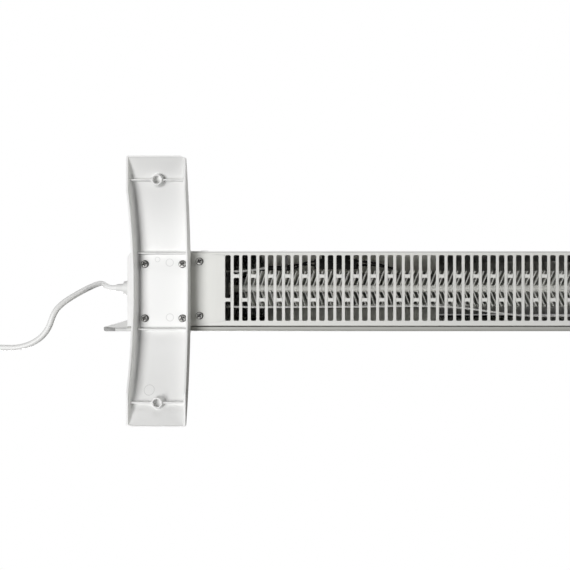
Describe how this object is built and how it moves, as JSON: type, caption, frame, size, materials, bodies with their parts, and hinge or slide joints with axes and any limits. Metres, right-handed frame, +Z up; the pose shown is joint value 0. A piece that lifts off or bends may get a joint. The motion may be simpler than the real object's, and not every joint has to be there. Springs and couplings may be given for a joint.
{
  "type": "electric convector heater",
  "caption": "Free-standing electric convector heater: flat white steel case with air slots, plastic end caps, moulded feet, thermostat knob, rocker switches and mains lead.",
  "frame": {"origin": "on the floor, midway between the two feet, under the middle of the case", "axes": "+X to the end with the controls and the mains lead, -Y out of the front panel, +Z up"},
  "size_m": [0.8181, 0.2647, 0.432],
  "materials": {
    "case_sheet": "white powder coat, fine grain",
    "grille_sheet": "white powder coat, fine grain",
    "front_sheet": "silver-grey powder coat, satin",
    "cap_plastic": "fine texture",
    "foot_plastic": "semi-gloss mould finish",
    "screw_steel": "dark zinc plating",
    "bright_steel": "bright zinc plating",
    "galvanised": "galvanised sheet",
    "fin_aluminium": "extruded, dull",
    "rod_steel": "heat-darkened",
    "ceramic": "unglazed ceramic",
    "black_plastic": "moulded",
    "brass_part": "plain",
    "control_sheet": "light grey, satin",
    "knob_plastic": "satin gloss",
    "lamp_plastic": "clear-tinted",
    "white_wire": "glass-fibre sleeve",
    "black_wire": "smooth insulation",
    "brown_wire": "smooth insulation",
    "cord_sheath": "smooth PVC sheath",
    "plug_plastic": "moulded on",
    "plug_pin": "nickel plating"
  },
  "bodies": {
    "heater": {"rear_panel": "case_sheet", "front_panel": "front_sheet", "bottom_grille": "grille_sheet", "side_trim_right": "cap_plastic", "side_trim_left": "cap_plastic", "end_cap_right": "cap_plastic", "end_cap_left": "cap_plastic", "foot_right": "foot_plastic", "foot_left": "foot_plastic", "foot_screws": "screw_steel", "grille_screws": "screw_steel", "rear_screws": "bright_steel", "rear_rivets": "bright_steel", "panel_clips": "black_plastic", "element_bracket_right": "galvanised", "element_bracket_left": "galvanised", "element_bushes": "ceramic", "element_body": "fin_aluminium", "heating_rod": "rod_steel", "rear_shield": "galvanised", "front_shield": "galvanised", "air_deflector": "galvanised", "cutout_bracket": "galvanised", "thermal_cutout": "black_plastic", "tip_switch_housing": "black_plastic", "tip_switch_cover": "black_plastic", "pendulum_pin": "bright_steel", "control_plate": "control_sheet", "thermostat_body": "black_plastic", "thermostat_screws": "bright_steel", "switch_housings": "black_plastic", "switch_pins": "bright_steel", "pilot_lamp": "lamp_plastic", "terminal_block": "ceramic", "lead_return": "white_wire", "lead_cutout": "white_wire", "lead_tip_switch": "black_wire", "lead_element": "black_wire", "lead_supply": "brown_wire", "lead_switches": "brown_wire", "lead_thermostat": "brown_wire", "cord_gland": "cap_plastic", "gland_nut": "cap_plastic", "clamp_base": "cap_plastic", "clamp_bar": "cap_plastic", "clamp_screws": "bright_steel", "cord_core_sheath": "cord_sheath", "cord": "cord_sheath", "cord_coil": "cord_sheath", "cord_tail": "cord_sheath", "plug_body": "plug_plastic", "plug_pins": "plug_pin"},
    "knob": {"thermostat_knob": "knob_plastic", "thermostat_shaft": "bright_steel"},
    "high_rocker": {"rocker_high": "knob_plastic"},
    "low_rocker": {"rocker_low": "knob_plastic"},
    "pendulum": {"tip_pendulum": "brass_part"}
  },
  "joints": [
    {"name": "thermostat_turn", "type": "hinge", "parent": "heater", "child": "knob", "pos_m": [0.3023, 0.002, 0.376], "axis": [1, 0, 0], "range_deg": [0, 270]},
    {"name": "high_rocker_tilt", "type": "hinge", "parent": "heater", "child": "high_rocker", "pos_m": [0.2915, 0.012, 0.32], "axis": [0, -1, 0], "range_deg": [0, 18]},
    {"name": "low_rocker_tilt", "type": "hinge", "parent": "heater", "child": "low_rocker", "pos_m": [0.2915, -0.008, 0.32], "axis": [0, -1, 0], "range_deg": [0, 18]},
    {"name": "tip_swing", "type": "hinge", "parent": "heater", "child": "pendulum", "pos_m": [0.1008, 0.0257, 0.0665], "axis": [0, 1, 0], "range_deg": [-25, 25]}
  ]
}
